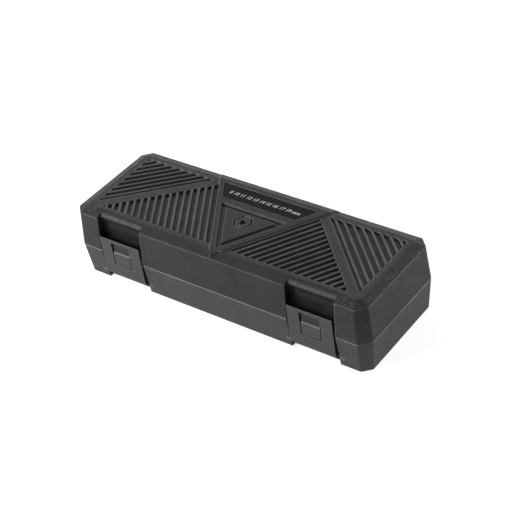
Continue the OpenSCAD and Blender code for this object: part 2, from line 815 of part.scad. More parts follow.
// Foam block cut to the shape of each tool
module tool_tray() color([0.09, 0.09, 0.095]) {
    foot = base_draft + wall + foot_r / 2 + loose;
    difference() {
        loft([[tray_floor, foot], [tray_floor + foot_r, foot - foot_r / 2], [tray_top, tray_inset]]);
        both_sides() pocket(latch_x, -half_w, 0,
            2 * (recess_half + recess_side + loose), 2 * (half_w + tray_front));
        socket_pockets();
        bar_pocket(bar_x, bar_long);
        bar_pocket(short_bar_x, bar_short);
        rod_pocket(plug_x, plug_l, ratchet_y, tray_top, plug_od / 2);
        ratchet_pocket();
        finger_well();
    }
}

// ---------------------------------------------------------------- sockets and bars

function socket_r(i) = max(socket_drive_od, socket_od_ratio * socket_sizes[i]) / 2;
function row_to(i) = i < 0 ? 0 : row_to(i - 1) + 2 * socket_r(i) + socket_space;
row_l = row_to(len(socket_sizes) - 1) - socket_space;
function socket_x(i) = -row_l / 2 + row_to(i - 1) + socket_r(i);

module square_hole(depth) {
    translate([0, 0, depth / 2 - 0.5])
        cube([drive_af + 2 * square_fit, drive_af + 2 * square_fit, depth + 1], center = true);
}

// A socket standing on its drive end
module socket_form(r, length, af, af_depth) {
    rd = socket_drive_od / 2;
    edge = 0.8;
    taper = square_d + 1;
    difference() {
        rotate_extrude() polygon([[0, 0], [rd - edge, 0], [rd, edge], [rd, taper], [r, taper + 3],
            [r, length - edge], [r - edge, length], [0, length]]);
        square_hole(square_d);
        translate([0, 0, -1]) cylinder(h = length + 2, r = through_r);
        translate([0, 0, length - af_depth])
            cylinder(h = af_depth + 1, d = (af + hex_fit) / cos(30), $fn = 6);
    }
}

module socket(i) color([0.78, 0.78, 0.8])
    translate([socket_x(i), socket_y - socket_l / 2, tray_top]) rotate([-90, 0, 0])
        socket_form(socket_r(i), socket_l, socket_sizes[i], hex_d);

module spark_plug_socket() color([0.78, 0.78, 0.8])
    translate([plug_x, ratchet_y, tray_top]) rotate([0, 90, 0])
        difference() {
            socket_form(plug_od / 2, plug_l, plug_af, hex_d);
            translate([0, 0, square_d + 5]) cylinder(h = plug_l - square_d - 5, r = plug_af / 2);
        }

module spark_plug_ring() color([0.08, 0.08, 0.08])
    translate([plug_x + plug_l - hex_d - plug_ring_l - 2, ratchet_y, tray_top]) rotate([0, 90, 0])
        difference() {
            cylinder(h = plug_ring_l, r = plug_af / 2 - fast_fit);
            translate([0, 0, -1]) cylinder(h = plug_ring_l + 2, r = plug_af / 2 - 2.4);
        }

module extension_bar(x, length) color([0.78, 0.78, 0.8])
    translate([x, bar_y, tray_top]) rotate([0, 90, 0]) {
        rd = socket_drive_od / 2;
        neck = length - square_d - 2;
        difference() {
            rotate_extrude() polygon([[0, 0], [rd - 0.8, 0], [rd, 0.8], [rd, bar_end_l - 2],
                [bar_r, bar_end_l + 3], [bar_r, neck - 4], [drive_af / sqrt(2) - 0.2, neck - 1],
                [drive_af / sqrt(2) - 0.2, neck + 2], [bar_r - 1, neck + 2.8], [0, neck + 2.8]]);
            square_hole(square_d);
        }
        intersection() {
            translate([0, 0, neck + square_d / 2 + 1])
                cube([drive_af, drive_af, square_d + 2], center = true);
            translate([0, 0, neck - 1]) cylinder(h = square_d + 3, r = drive_af / sqrt(2) - 0.5);
        }
        // Spring ball in the side of the square
        translate([drive_af / 2 + ball_out - ball_r, 0, length - square_d / 2]) sphere(r = ball_r);
    }

// ---------------------------------------------------------------- ratchet

// Tapered neck, tangent to the head and to the shank
module neck_outline(edge) {
    lean = asin((head_r - shank_r) / neck_l);
    far = [head_x - neck_l, ratchet_y];
    a = [-sin(lean), cos(lean)];
    b = [-sin(lean), -cos(lean)];
    polygon([[head_x, ratchet_y] + (head_r + edge) * a, far + (shank_r + edge) * a,
        far + (shank_r + edge) * b, [head_x, ratchet_y] + (head_r + edge) * b]);
}

module ratchet_body() color([0.8, 0.8, 0.82]) {
    cavity_h = cover_z - gear_z + loose;
    difference() {
        union() {
            translate([head_x, ratchet_y, head_z]) cylinder(h = head_t, r = head_r);
            translate([0, 0, head_z]) linear_extrude(head_t) neck_outline(0);
            translate([head_x - neck_l, ratchet_y, head_z]) cylinder(h = head_t, r = shank_r);
            translate([(head_x - neck_l + ratchet_end + grip_end_t) / 2, ratchet_y, ratchet_z])
                rod_x(shank_r, head_x - neck_l - ratchet_end - grip_end_t);
        }
        translate([head_x, ratchet_y, 0]) {
            translate([0, 0, gear_z - loose]) cylinder(h = cavity_h + loose, r = gear_r + loose);
            cylinder(h = head_top, r = journal_r + free_fit);
            translate([0, 0, cover_z]) cylinder(h = cover_t + 1, r = cover_r + loose / 2);
        }
        // Room for the pawl and the seat of the lever's shaft
        translate([lever_x, ratchet_y, gear_z - loose]) cylinder(h = gear_h + 2 * loose, r = 7);
        translate([lever_x, ratchet_y - pawl_room, gear_z - loose])
            cube([lever_d, 2 * pawl_room, gear_h + 2 * loose]);
        translate([lever_x, ratchet_y, gear_z - loose - 1]) cylinder(h = head_t, r = lever_r + free_fit);
        for (s = [-1, 1])
            translate([head_x, ratchet_y + s * screw_at, cover_z - screw_l - 0.5])
                cylinder(h = screw_l + 1, r = screw_shank_r);
    }
}

module head_cover() color([0.75, 0.75, 0.77])
    translate([head_x, ratchet_y, cover_z]) difference() {
        cylinder(h = cover_t, r = cover_r);
        translate([0, 0, -1]) cylinder(h = cover_t + 2, r = boss_r + free_fit);
        for (s = [-1, 1]) translate([0, s * screw_at, 0]) {
            translate([0, 0, -1]) cylinder(h = cover_t + 2, r = screw_shank_r + 0.1);
            translate([0, 0, cover_t - screw_head_t - 0.1]) cylinder(h = 2, r = screw_r + 0.1);
        }
    }

module cover_screws() color([0.5, 0.5, 0.52])
    for (s = [-1, 1]) translate([head_x, ratchet_y + s * screw_at, 0]) {
        translate([0, 0, cover_z - screw_l]) cylinder(h = screw_l + cover_t - screw_head_t, r = screw_shank_r);
        translate([0, 0, cover_z + cover_t - screw_head_t - 0.05]) difference() {
            cylinder(h = screw_head_t, r = screw_r);
            translate([0, 0, 0.3]) cylinder(h = 1, r = screw_r * 0.57, $fn = 6);
        }
    }

function gear_outline() = [for (i = [0:2 * gear_teeth - 1])
    let (a = 180 + (i + 0.5) * 180 / gear_teeth + 90 / gear_teeth,
         r = i % 2 == 0 ? gear_r : gear_r - tooth_d) [r * cos(a), r * sin(a)]];

module drive_gear() color([0.6, 0.6, 0.62])
    translate([head_x, ratchet_y, 0]) difference() {
        union() {
            translate([0, 0, gear_z]) linear_extrude(gear_h) polygon(gear_outline());
            translate([0, 0, head_z]) cylinder(h = gear_z - head_z + 1, r = journal_r);
            translate([0, 0, gear_z]) cylinder(h = cover_z + cover_t - 0.4 - gear_z, r = boss_r);
            intersection() {
                translate([0, 0, (drive_tip + head_z) / 2 + 0.5])
                    cube([drive_af, drive_af, square_d + 1], center = true);
                translate([0, 0, drive_tip]) cylinder(h = square_d + 2, r = drive_af / sqrt(2) - 0.5);
            }
        }
        translate([0, 0, drive_tip + 4]) cylinder(h = head_top, r = button_rod_r + free_fit);
        translate([0, 0, head_top - button_travel - 1.1]) cylinder(h = head_t, r = button_r + free_fit);
        translate([0, 0, ball_z]) rotate([90, 0, 0]) cylinder(h = drive_af, r = ball_r + fast_fit);
    }

module drive_ball() color([0.7, 0.7, 0.72])
    translate([head_x, ratchet_y - drive_af / 2 + ball_r - ball_out, ball_z]) sphere(r = ball_r);

module release_button() color([0.72, 0.72, 0.74])
    translate([head_x, ratchet_y, 0]) {
        foot = drive_tip + 4 + button_travel + loose;
        cap = head_top - 0.8;
        translate([0, 0, foot]) cylinder(h = cap - foot + 1, r = button_rod_r);
        translate([0, 0, cap]) rotate_extrude() polygon([[0, 0], [button_r, 0],
            [button_r, button_up + 0.4], [button_r - 0.6, button_up + 0.8], [0, button_up + 0.8]]);
    }

module reversing_lever() color([0.72, 0.72, 0.74])
    translate([lever_x, ratchet_y, 0]) {
        translate([0, 0, gear_z - 1]) cylinder(h = head_top - gear_z + 2, r = lever_r);
        translate([0, 0, head_top + loose]) rotate(180 - lever_swing / 2) linear_extrude(lever_t)
            union() {
                circle(r = lever_r + 2.4);
                polygon([[0, -lever_r - 2.2], [lever_l - 3, -2.2], [lever_l - 3, 2.2], [0, lever_r + 2.2]]);
                translate([lever_l - 3, 0]) circle(r = 3);
            }
    }

// Side of the pawl that stands in a gap between two teeth, seen from the lever's axis
function pawl_arm() =
    let (gap_a = 4 * 180 / gear_teeth,
         tip_r = gear_r - tooth_d + 0.45,
         tip = [lever_d - tip_r * cos(gap_a), tip_r * sin(gap_a)],
         near = lever_d - gear_r - 0.8)
    [[0, pawl_hub_r], [5, 5.6], [tip[0] - 2.6, tip[1] + 1.9], [tip[0] - 0.75, tip[1] + 1.3], tip,
        [tip[0] - 1.7, tip[1]], [near + 0.4, tip[1] / 2], [near, -1], [0, -pawl_hub_r]];

module pawl() color([0.55, 0.55, 0.57])
    translate([lever_x, ratchet_y, gear_z]) rotate(-pawl_swing / 2) difference() {
        union() {
            cylinder(h = gear_h, r = pawl_hub_r);
            rotate(pawl_swing / 2) linear_extrude(gear_h) polygon(pawl_arm());
            mirror([0, 1, 0]) rotate(pawl_swing / 2) linear_extrude(gear_h) polygon(pawl_arm());
        }
        translate([0, 0, -1]) cylinder(h = gear_h + 2, r = lever_r + free_fit);
    }

module pawl_spring() color([0.6, 0.6, 0.62])
    translate([lever_x, ratchet_y, gear_z + 1]) linear_extrude(gear_h - 2) difference() {
        circle(r = 6.6);
        circle(r = 6);
        translate([-4, -8]) square([16, 16]);
    }

module ratchet_grip() color([0.1, 0.1, 0.1])
    translate([ratchet_end, ratchet_y, ratchet_z]) rotate([0, 90, 0])
        difference() {
            rotate_extrude() polygon([[0, 0], [grip_r - 2, 0], [grip_r, 2], [grip_r, grip_swell],
                [grip_r - grip_waist, 2 * grip_swell + 2], [grip_r - grip_waist / 3, grip_l * 0.55],
                [grip_r - 2, grip_l - grip_swell - 2], [grip_r - 1, grip_l - grip_swell / 2],
                [grip_r - 2, grip_l - 1], [grip_r - 3, grip_l], [0, grip_l]]);
            translate([0, 0, grip_end_t]) cylinder(h = grip_l, r = shank_r + fast_fit);
        }

base_shell();
tool_tray();
lid_shell();
lid_foam();
name_plate();
hinge_pin(-1);  // left_hinge_pin
hinge_pin(1);  // right_hinge_pin
latch(-1);  // left_latch
latch(1);  // right_latch
latch_pin(-1);  // left_latch_pin
latch_pin(1);  // right_latch_pin
ratchet_body();
ratchet_grip();
head_cover();
cover_screws();
drive_gear();
drive_ball();
release_button();
reversing_lever();
pawl();
pawl_spring();
extension_bar(bar_x, bar_long);  // extension_bar_150
extension_bar(short_bar_x, bar_short);  // extension_bar_75
spark_plug_socket();
spark_plug_ring();
socket(0);  // socket_8mm
socket(1);  // socket_10mm
socket(2);  // socket_11mm
socket(3);  // socket_12mm
socket(4);  // socket_13mm
socket(5);  // socket_14mm
socket(6);  // socket_15mm
socket(7);  // socket_16mm
socket(8);  // socket_17mm
socket(9);  // socket_19mm
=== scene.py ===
"""A socket wrench set in its hard case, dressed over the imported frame.

The scene is in metres, in the frame of the model: X along the case, -Y the latch side, +Z up,
origin under the middle of the base. Sizes marked mm are multiplied by MM where they are used.
"""
import json
import math

import bmesh
import bpy
import numpy as np
from mathutils import Matrix, Vector


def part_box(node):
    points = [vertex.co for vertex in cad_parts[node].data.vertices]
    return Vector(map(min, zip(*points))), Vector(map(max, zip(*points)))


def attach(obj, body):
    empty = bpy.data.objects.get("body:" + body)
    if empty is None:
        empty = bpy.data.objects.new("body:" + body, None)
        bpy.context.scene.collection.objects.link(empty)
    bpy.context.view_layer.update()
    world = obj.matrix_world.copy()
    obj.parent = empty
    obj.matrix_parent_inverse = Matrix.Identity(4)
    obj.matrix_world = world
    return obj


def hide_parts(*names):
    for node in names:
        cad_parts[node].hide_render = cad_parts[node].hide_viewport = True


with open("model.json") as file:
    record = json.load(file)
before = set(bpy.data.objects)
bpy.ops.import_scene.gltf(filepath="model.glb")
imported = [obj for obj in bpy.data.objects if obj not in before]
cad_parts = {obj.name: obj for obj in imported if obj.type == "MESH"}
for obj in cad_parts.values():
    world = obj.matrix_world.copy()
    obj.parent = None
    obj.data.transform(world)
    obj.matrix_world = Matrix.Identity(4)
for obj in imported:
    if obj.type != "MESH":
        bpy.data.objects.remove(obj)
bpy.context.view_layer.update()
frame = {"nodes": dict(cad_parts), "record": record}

MM = 0.001
NODES = frame["nodes"]

# ------------------------------------------------------------------ camera, light and floor

CAMERA_AT = Vector((581.52, -657.11, 702.73)) * MM
CAMERA_AIM = Vector((3.95, 1.57, 30.0)) * MM
CAMERA_ROLL = math.radians(-8.83)
CAMERA_LENS = 99.45  # mm on a 36 mm film


def add_camera():
    """A camera at CAMERA_AT that looks at CAMERA_AIM, rolled about its own axis."""
    ahead = (CAMERA_AIM - CAMERA_AT).normalized()
    level = ahead.cross(Vector((0, 0, 1))).normalized()
    upright = level.cross(ahead)
    right = level * math.cos(CAMERA_ROLL) + upright * math.sin(CAMERA_ROLL)
    up = right.cross(ahead)
    data = bpy.data.cameras.new("camera")
    data.lens = CAMERA_LENS
    data.sensor_width = 36
    data.clip_start = 0.05
    camera = bpy.data.objects.new("camera", data)
    turn = Matrix((right, up, -ahead)).transposed().to_4x4()
    camera.matrix_world = Matrix.Translation(CAMERA_AT) @ turn
    bpy.context.collection.objects.link(camera)
    bpy.context.scene.camera = camera


LAMPS = (  # name, place, width and height in metres, watts; each faces LAMP_AIM
    ("left_box", (-1.10, -1.20, 0.85), (1.2, 0.8), 27),
    ("right_box", (1.25, 1.1, 0.52), (1.2, 0.6), 16))
LAMP_AIM = Vector((0, 0, 0.03))


def add_lamps():
    """Rectangular soft lamps, turned to face the middle of the case."""
    for name, place, size, watts in LAMPS:
        data = bpy.data.lights.new(name, "AREA")
        data.shape = "RECTANGLE"
        data.size, data.size_y = size
        data.energy = watts
        lamp = bpy.data.objects.new(name, data)
        facing = (LAMP_AIM - Vector(place)).to_track_quat("-Z", "Y").to_matrix().to_4x4()
        lamp.matrix_world = Matrix.Translation(place) @ facing
        bpy.context.collection.objects.link(lamp)


def add_node(tree, kind, inputs=None, **settings):
    """A shader node with its settings. Each input gets a value or the socket that feeds it."""
    node = tree.nodes.new("ShaderNode" + kind)
    for name, value in settings.items():
        setattr(node, name, value)
    for name, value in (inputs or {}).items():
        if isinstance(value, bpy.types.NodeSocket):
            tree.links.new(value, node.inputs[name])
        else:
            node.inputs[name].default_value = value
    return node


def add_maths(tree, operation, *values):
    """One step of arithmetic on numbers or sockets."""
    return add_node(tree, "Math", dict(enumerate(values)), operation=operation).outputs[0]


def add_span(tree, value, source, target=(0.0, 1.0), curve="LINEAR"):
    """value carried from the range source to the range target, held at both ends."""
    inputs = {
        "Value": value, "From Min": source[0], "From Max": source[1],
        "To Min": target[0], "To Max": target[1]}
    return add_node(tree, "MapRange", inputs, interpolation_type=curve).outputs[0]


SHINE = 0.3  # share of the white surroundings that gloss and metal show


def seen_directly(tree):
    """1 for rays from the camera and through glass, SHINE for mirrored ones, 0 for the rest."""
    path = add_node(tree, "LightPath").outputs
    clear = add_maths(tree, "MAXIMUM", path["Is Camera Ray"], path["Is Transmission Ray"])
    mirrored = add_maths(tree, "MULTIPLY", path["Is Glossy Ray"], SHINE)
    return add_maths(tree, "MAXIMUM", clear, mirrored)


BACK = (-0.655, 0.755, 0.0)  # level direction from the camera past the object
WORLD_BASE = 0.10   # brightness of the surroundings at eye level towards the camera
WORLD_BACK = 1.12   # added behind the object, where a pale backdrop rises from the floor
WORLD_ABOVE = 0.07  # share of that brightness that is left overhead
BACKDROP = (0.15, 0.95)  # cosine from BACK between which the backdrop fades in
OVERHEAD = (0.56, 0.82)  # height of a direction between which it darkens, 1 is straight up


def add_world():
    """White where it is seen. Where it gives light, it brightens towards the backdrop and
    darkens upwards."""
    world = bpy.data.worlds.new("studio")
    bpy.context.scene.world = world
    world.use_nodes = True
    tree = world.node_tree
    tree.nodes.clear()
    ray = add_node(tree, "TexCoord").outputs["Generated"]
    ahead = add_node(tree, "VectorMath", {0: ray, 1: BACK}, operation="DOT_PRODUCT")
    brightness = (WORLD_BASE, WORLD_BASE + WORLD_BACK)
    backdrop = add_span(tree, ahead.outputs["Value"], BACKDROP, brightness, "SMOOTHSTEP")
    height = add_node(tree, "SeparateXYZ", {0: ray}).outputs["Z"]
    left = add_span(tree, height, OVERHEAD, (1.0, WORLD_ABOVE), "SMOOTHSTEP")
    strength = add_maths(tree, "MULTIPLY", backdrop, left)
    light = add_node(tree, "Background", {"Strength": strength})
    white = add_node(tree, "Background", {"Color": (1, 1, 1, 1)})
    mix = add_node(tree, "MixShader", {
        "Fac": seen_directly(tree), 1: light.outputs[0], 2: white.outputs[0]})
    add_node(tree, "OutputWorld", {"Surface": mix.outputs[0]})


FLOOR_HALF = 6.0    # half its side, metres
FLOOR_ALBEDO = 0.86
FLOOR_GLOW = (0.75, 1.0)  # added where the floor is seen, near the object and far from it
FLOOR_FAR = (0.4, 1.5)    # distances between which the one becomes the other, metres
FLOOR_DARK = 0.12   # what it throws back beyond the table's edge, on the camera's side
FLOOR_EDGE = (0.15, 0.24)  # where it darkens, metres from the middle towards the camera


def add_floor():
    """Pale floor, white where it is seen outside the shadow. The light that it throws back
    comes from a table whose edge lies on the camera's side."""
    a = FLOOR_HALF
    mesh = bpy.data.meshes.new("floor")
    mesh.from_pydata([(-a, -a, 0), (a, -a, 0), (a, a, 0), (-a, a, 0)], [], [(0, 1, 2, 3)])
    floor = bpy.data.objects.new("floor", mesh)
    bpy.context.collection.objects.link(floor)
    material = bpy.data.materials.new("floor")
    material.use_nodes = True
    tree = material.node_tree
    tree.nodes.clear()
    place = add_node(tree, "TexCoord").outputs["Object"]
    seen = seen_directly(tree)
    front = [-c for c in BACK]
    towards = add_node(tree, "VectorMath", {0: place, 1: front}, operation="DOT_PRODUCT")
    table = add_span(tree, towards.outputs["Value"], FLOOR_EDGE, (FLOOR_ALBEDO, FLOOR_DARK))
    full = add_maths(tree, "MULTIPLY", seen, FLOOR_ALBEDO)
    matt = add_node(tree, "BsdfDiffuse", {"Color": add_maths(tree, "MAXIMUM", table, full)})
    away = add_node(tree, "VectorMath", {0: place}, operation="LENGTH")
    rising = add_span(tree, away.outputs["Value"], FLOOR_FAR, FLOOR_GLOW)
    glow = add_node(tree, "Emission", {"Strength": add_maths(tree, "MULTIPLY", seen, rising)})
    both = add_node(tree, "AddShader", {0: matt.outputs[0], 1: glow.outputs[0]})
    add_node(tree, "OutputMaterial", {"Surface": both.outputs[0]})
    mesh.materials.append(material)


# ------------------------------------------------------------------ materials


def lighter(colour, times):
    """The colour with each of its parts multiplied."""
    return tuple(c * times for c in colour)


class Finish:
    """A material under construction: one Principled shader and the patterns that feed it."""

    def __init__(self, name, colour, roughness, metallic=0.0):
        self.material = bpy.data.materials.new(name)
        self.material.use_nodes = True
        self.tree = self.material.node_tree
        self.shader = self.tree.nodes["Principled BSDF"]
        self.colour = colour
        self.set("Base Color", (*colour, 1))
        self.set("Roughness", roughness)
        self.set("Metallic", metallic)
        coords = self.node("TexCoord").outputs
        self.place = coords["Object"]
        self.normal = coords["Normal"]

    def set(self, socket, value):
        """Gives one of the shader's own sockets a value."""
        self.shader.inputs[socket].default_value = value

    def feed(self, socket, value):
        """Links a pattern to one of the shader's own sockets."""
        self.tree.links.new(value, self.shader.inputs[socket])

    def fed(self, socket):
        """The pattern that feeds one of the shader's own sockets so far, if any."""
        links = self.shader.inputs[socket].links
        return links[0].from_socket if links else None

    def node(self, kind, inputs=None, **settings):
        """A node in this material."""
        return add_node(self.tree, kind, inputs, **settings)

    def maths(self, operation, *values):
        """One step of arithmetic in this material."""
        return add_maths(self.tree, operation, *values)

    def product(self, *values):
        """All the values multiplied."""
        total = values[0]
        for value in values[1:]:
            total = self.maths("MULTIPLY", total, value)
        return total

    def span(self, value, low, high, start=0.0, end=1.0):
        """value carried from low..high to start..end, held at both ends."""
        return add_span(self.tree, value, (low, high), (start, end))

    def noise(self, size, detail=2.0, rough=0.5, stretch=(1, 1, 1)):
        """Noise whose features are about size metres across."""
        squeezed = self.node("Mapping", {"Vector": self.place, "Scale": stretch}).outputs[0]
        inputs = {
            "Vector": squeezed, "Scale": 1 / size, "Detail": detail, "Roughness": rough}
        return self.node("TexNoise", inputs).outputs[0]

    def cells(self, size):
        """Distance to the middle of the nearest of many cells about size metres across."""
        inputs = {"Vector": self.place, "Scale": 1 / size}
        return self.node("TexVoronoi", inputs).outputs["Distance"]

    def axis(self, name):
        """One coordinate of the surface point, metres."""
        return self.node("SeparateXYZ", {0: self.place}).outputs[name]

    def facing_up(self, low, high):
        """0 on walls, 1 on tops: the height of the surface's own normal over low..high."""
        height = self.node("SeparateXYZ", {0: self.normal}).outputs["Z"]
        return self.span(height, low, high)

    def within(self, value, low, high, soft=0.05 * MM):
        """1 where value is between low and high, 0 outside, with soft borders."""
        above = self.span(value, low - soft, low + soft)
        below = self.span(value, high - soft, high + soft, 1.0, 0.0)
        return self.product(above, below)

    def convex_edges(self, width):
        """1 along edges that stand out, where little of the solid lies within width, else 0."""
        filled = self.node("AmbientOcclusion", {"Distance": width},
            inside=True, only_local=True, samples=12).outputs["AO"]
        return self.span(filled, 0.50, 0.94, 1.0, 0.0)

    def panel_highlight(self):
        """1 along the two edges of the lid's raised V, where |x| = V_SPREAD (y - V_TIP): the
        line where a highlight is painted.
        """
        line = self.product(self.maths("SUBTRACT", self.axis("Y"), V_TIP), V_SPREAD)
        off = self.maths("SUBTRACT", self.maths("ABSOLUTE", self.axis("X")), line)
        top = self.span(self.axis("Z"), *V_FOOT)
        return self.product(self.within(off, *V_HIGHLIGHT_REACH, soft=V_SOFT), top)

    def soft_edges(self, radius):
        """Shading that runs round the edges: the normal is smoothed over radius, metres."""
        self.feed("Normal", self.node("Bevel", {"Radius": radius}, samples=6).outputs[0])

    def bump(self, height, distance, strength=1.0):
        """Relief of the given height map, distance metres deep, laid over earlier relief."""
        inputs = {"Height": height, "Distance": distance, "Strength": strength}
        earlier = self.fed("Normal")
        if earlier:
            inputs["Normal"] = earlier
        self.feed("Normal", self.node("Bump", inputs).outputs[0])

    def tint(self, amount, light):
        """Base colour mixed from the finish's own to light by amount, 0 to 1."""
        inputs = {"Factor": amount, "A": (*self.colour, 1), "B": (*light, 1)}
        self.feed("Base Color", self.node("Mix", inputs, data_type="RGBA").outputs["Result"])

    def scale_colour(self, share):
        """Multiplies the base colour laid so far by share."""
        inputs = {0: self.fed("Base Color"), "Scale": share}
        self.feed("Base Color", self.node("VectorMath", inputs, operation="SCALE").outputs[0])

    def shade_behind(self, front, back, share):
        """Takes the base colour to a share of itself from y = front to y = back, metres."""
        self.scale_colour(self.span(self.axis("Y"), front, back, 1.0, share))

    def shade_between(self, low, high, share):
        """Takes the base colour to a share of itself where low < z < high, metres."""
        self.scale_colour(self.span(self.within(self.axis("Z"), low, high), 0, 1, 1.0, share))

    def uneven(self, size, low, high, about):
        """Roughness that wanders from about - low to about + high in patches of size metres."""
        return self.span(self.noise(size, detail=3), 0.3, 0.7, about - low, about + high)


V_TIP = -46.5 * MM     # where the edges of the lid's raised V meet, y
V_SPREAD = 0.6212      # how far they part for each step along y
V_HIGHLIGHT_REACH = (-0.5 * MM, 0.7 * MM)  # reach of the painted highlight line across each edge
V_SOFT = 0.15 * MM     # softness of that line
V_FOOT = (62.4 * MM, 62.6 * MM)   # heights between which it fades in
PALE_WEAR_AND_GLINT = (0.20, 0.20, 0.205)  # rubbed edges with painted highlights, and painted glints, on the case's plastic


def moulded_plastic(name, colour, roughness, shares, wall_glints, grain=1.0, panel=False):
    """Black plastic from a sparked mould: coarse grain on the slopes, finer on tops and walls.

    Pale specks are painted in as glints, and wall_glints says how many on a wall. The edges
    that stand out are painted paler and made smoother, as wear and as a painted highlight, and
    along the raised V's edges a painted highlight line runs too if it is the lid's, which panel
    says.
    shares has (low, high, share) rows of painted shade and painted highlight: between those
    heights, metres, the colour is that share of what it would be. grain multiplies the relief."""
    f = Finish(name, colour, roughness)
    wall_round, top_round = 2.4 * MM, 0.8 * MM
    f.soft_edges(f.span(f.facing_up(0.3, 0.5), 0, 1, wall_round, top_round))
    flat = f.facing_up(0.95, 0.98)
    slope = f.product(f.facing_up(0.15, 0.6), f.maths("SUBTRACT", 1.0, flat))
    pits = f.maths("SUBTRACT", f.cells(0.9 * MM), 0.5)
    f.bump(f.noise(0.5 * MM), 0.05 * MM * grain, 0.5)
    f.bump(f.product(pits, f.maths("ADD", slope, 0.12)), 0.22 * MM * grain)
    # Painted glints: pale specks, thickest on the slopes near the ends, in patches
    speck = f.span(f.noise(0.8 * MM, detail=1), 0.56, 0.68)
    ends = f.span(f.maths("ABSOLUTE", f.axis("X")), 70 * MM, 125 * MM, 0.2, 1.0)
    patch = f.span(f.noise(9 * MM), 0.35, 0.65, 0.4, 1.0)
    share = f.maths("ADD", f.product(slope, 0.8), wall_glints)
    painted_glints = f.product(speck, f.product(ends, patch), share)
    cloud = f.noise(28 * MM, detail=4, rough=0.6)
    # Edges that stand out, painted paler: part wear, part painted highlight
    edge = f.product(f.convex_edges(1.5 * MM), f.span(cloud, 0.3, 0.7, 0.4, 1.0))
    # Along the raised V's edges, a painted highlight line
    if panel:
        edge = f.maths("MAXIMUM", edge, f.panel_highlight())
    # Random paler tone, plus the painted glints
    wear_and_glint = f.maths("ADD", f.span(cloud, 0.3, 0.75, 0.0, 0.08), painted_glints)
    f.tint(f.maths("ADD", wear_and_glint, edge), PALE_WEAR_AND_GLINT)
    # Bands of painted shade and painted highlight, by height
    for low, high, share in shares:
        f.shade_between(low, high, share)
    rubbed = f.product(edge, 0.12)
    f.feed("Roughness", f.maths("SUBTRACT", f.uneven(6 * MM, 0.05, 0.06, roughness), rubbed))
    return f.material


def satin_plastic(name, colour, roughness, specular=0.5, wear_and_glint=0.8, painted_shade=None):
    """Smooth moulded plastic with a very fine grain, faint flow marks and edges painted paler,
    as wear and as a painted highlight.

    wear_and_glint says how much they show. painted_shade is (front, back, share): from y =
    front to y = back the colour falls to that share, as painted shade."""
    f = Finish(name, colour, roughness)
    f.bump(f.noise(0.4 * MM), 0.03 * MM, 0.5)
    flow = f.span(f.noise(14 * MM, detail=3), 0.3, 0.75, 0.0, 0.1 * wear_and_glint)
    # Flow marks, and edges painted paler: part wear, part painted highlight
    f.tint(f.maths("ADD", flow, f.product(f.convex_edges(0.9 * MM), wear_and_glint)), PALE_WEAR_AND_GLINT)
    # Painted shade behind y = front
    if painted_shade:
        f.shade_behind(*painted_shade)
    f.feed("Roughness", f.uneven(4 * MM, 0.04, 0.05, roughness))
    f.set("Specular IOR Level", specular)
    return f.material


def chrome_plate(name, colour, roughness):
    """Polished chrome with faint handling scratches and a trace of haze."""
    f = Finish(name, colour, roughness, metallic=1.0)
    haze = f.noise(9 * MM, detail=4)
    f.feed("Roughness", f.span(haze, 0.3, 0.8, roughness, roughness + 0.12))
    f.bump(f.noise(0.5 * MM, stretch=(1, 12, 1)), 0.004 * MM, 0.4)
    f.tint(f.span(f.noise(20 * MM), 0.3, 0.8), lighter(colour, 0.86))
    return f.material


def painted(name, colour, roughness):
    """Pad-printed paint: slightly thin and uneven where the plate's grain shows through."""
    f = Finish(name, colour, roughness)
    f.tint(f.span(f.noise(0.6 * MM, detail=3), 0.45, 0.7), lighter(colour, 0.75))
    f.bump(f.noise(0.3 * MM), 0.01 * MM, 0.5)
    return f.material


def turned_steel(name, colour, roughness):
    """Bare or blackened steel with fine machining lines."""
    f = Finish(name, colour, roughness, metallic=1.0)
    f.bump(f.noise(0.25 * MM, stretch=(20, 1, 1)), 0.006 * MM, 0.5)
    f.feed("Roughness", f.uneven(3 * MM, 0.06, 0.08, roughness))
    f.tint(f.span(f.noise(5 * MM, detail=3), 0.3, 0.8), lighter(colour, 0.75))
    return f.material


def soft_rubber(name, colour, roughness):
    """Matt rubber with a dusty bloom."""
    f = Finish(name, colour, roughness)
    f.bump(f.noise(0.3 * MM), 0.04 * MM, 0.6)
    f.tint(f.span(f.noise(7 * MM, detail=4), 0.35, 0.8), lighter(colour, 1.8))
    f.set("Sheen Weight", 0.15)
    return f.material


def foam_rubber(name, colour):
    """Fine-celled foam: open cells a little under a millimetre across."""
    f = Finish(name, colour, 0.95)
    cells = f.cells(0.8 * MM)
    f.bump(cells, 0.35 * MM, 0.9)
    f.tint(f.span(cells, 0.1, 0.7), lighter(colour, 2.2))
    return f.material


